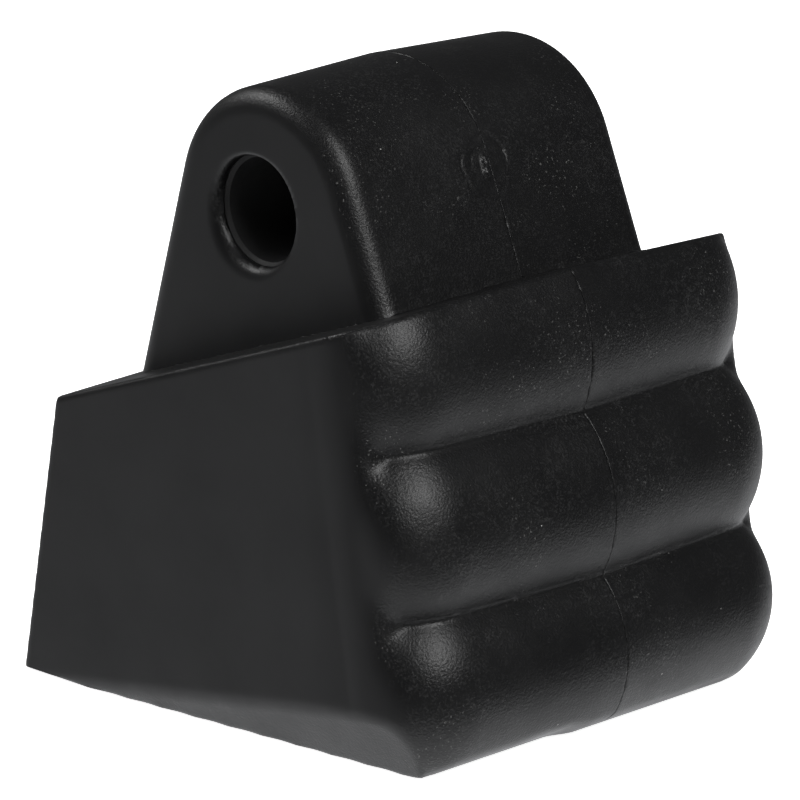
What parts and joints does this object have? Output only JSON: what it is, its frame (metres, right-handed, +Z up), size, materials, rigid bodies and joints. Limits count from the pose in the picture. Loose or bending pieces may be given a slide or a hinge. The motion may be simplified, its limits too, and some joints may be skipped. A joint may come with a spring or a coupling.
{
  "type": "cleat horn",
  "caption": "Wedge-shaped moulded horn with a rounded roll grip front, a tapering pivot lug on top and a free-turning sleeve through the lug for a pivot pin.",
  "frame": {"origin": "centre of the footprint, on the flat base plane", "axes": "+Z up from the base, +X across the horn along the pivot axis, the roll grip front faces -Y"},
  "size_m": [0.063, 0.0684, 0.0736],
  "materials": {
    "horn_plastic": "fine moulded grain, semi-matt black",
    "sleeve_plastic": "plain black bearing plastic",
    "screw_steel": "plain steel",
    "insert_brass": "turned",
    "dowel_steel": "ground"
  },
  "bodies": {
    "horn": {"left_half": "horn_plastic", "right_half": "horn_plastic", "screw_1": "screw_steel", "screw_2": "screw_steel", "screw_3": "screw_steel", "screw_4": "screw_steel", "insert_1": "insert_brass", "insert_2": "insert_brass", "insert_3": "insert_brass", "insert_4": "insert_brass", "dowel_1": "dowel_steel", "dowel_2": "dowel_steel"},
    "sleeve": {"pivot_sleeve": "sleeve_plastic"}
  },
  "joints": [
    {"name": "sleeve_spin", "type": "hinge", "parent": "horn", "child": "sleeve", "pos_m": [0, 0.0033, 0.0587], "axis": [1, 0, 0], "continuous": true}
  ]
}
